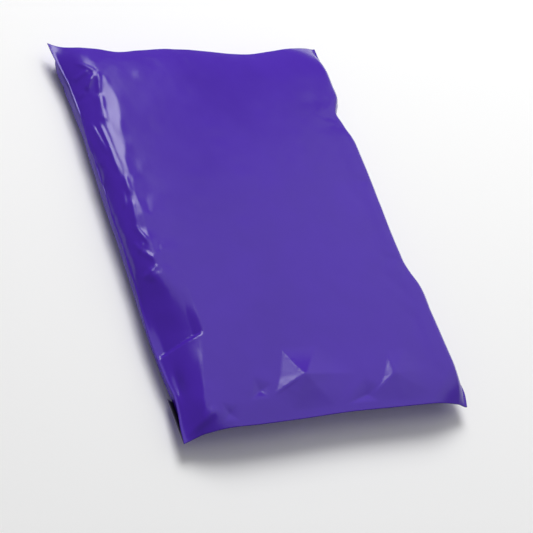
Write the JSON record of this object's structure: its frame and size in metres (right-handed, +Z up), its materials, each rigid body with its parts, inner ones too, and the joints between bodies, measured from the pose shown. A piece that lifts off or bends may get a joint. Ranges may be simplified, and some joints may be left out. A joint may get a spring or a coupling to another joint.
{
  "type": "poly mailer bag",
  "caption": "Sealed poly mailer bag with soft contents, glossy film welded down both sides, its lip folded under and stuck to the rear, lying flat.",
  "frame": {"origin": "on the surface that the bag lies on, under the middle of its box", "axes": "+Z up out of the front panel, +Y along the length from the mouth and its folded lip to the closed far end, +X across the width"},
  "size_m": [0.245, 0.338, 0.0273],
  "materials": {
    "mailer_film": "glossy coloured polyethylene film",
    "inner_film": "black inner face of the same film"
  },
  "bodies": {
    "root": {"mailer_bag": "mailer_film"}
  },
  "joints": []
}
